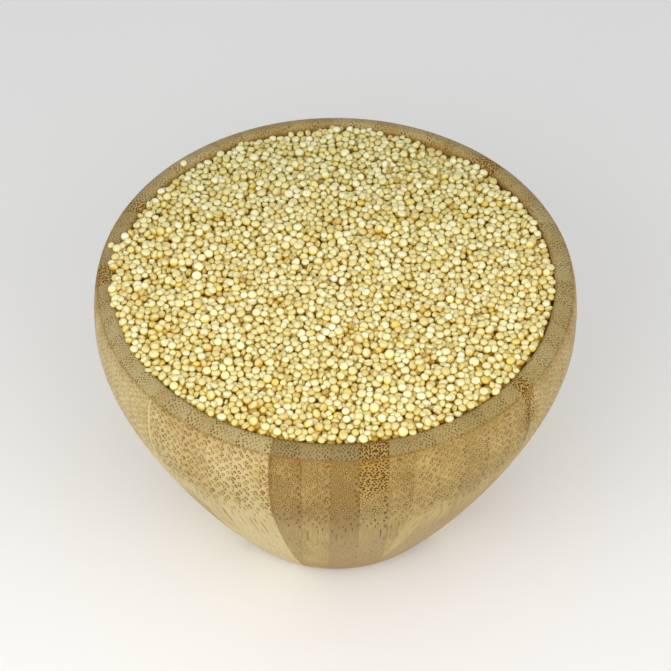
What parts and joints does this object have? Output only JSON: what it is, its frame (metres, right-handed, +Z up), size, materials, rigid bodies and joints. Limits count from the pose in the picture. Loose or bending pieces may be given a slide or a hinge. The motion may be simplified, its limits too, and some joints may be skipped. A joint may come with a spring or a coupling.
{
  "type": "bowl of quinoa",
  "caption": "Round turned bamboo bowl with a thick rounded rim and a small flat base, filled to the rim with dry pale quinoa seeds.",
  "frame": {"origin": "centre of the bowl's flat base", "axes": "+Z up through the bowl's mouth, -Y towards the front of the bowl"},
  "size_m": [0.12, 0.12, 0.0823],
  "materials": {
    "bamboo": "satin end-grain bamboo",
    "quinoa": "dry smooth seeds"
  },
  "bodies": {
    "root": {"bowl": "bamboo", "quinoa": "quinoa"}
  },
  "joints": []
}
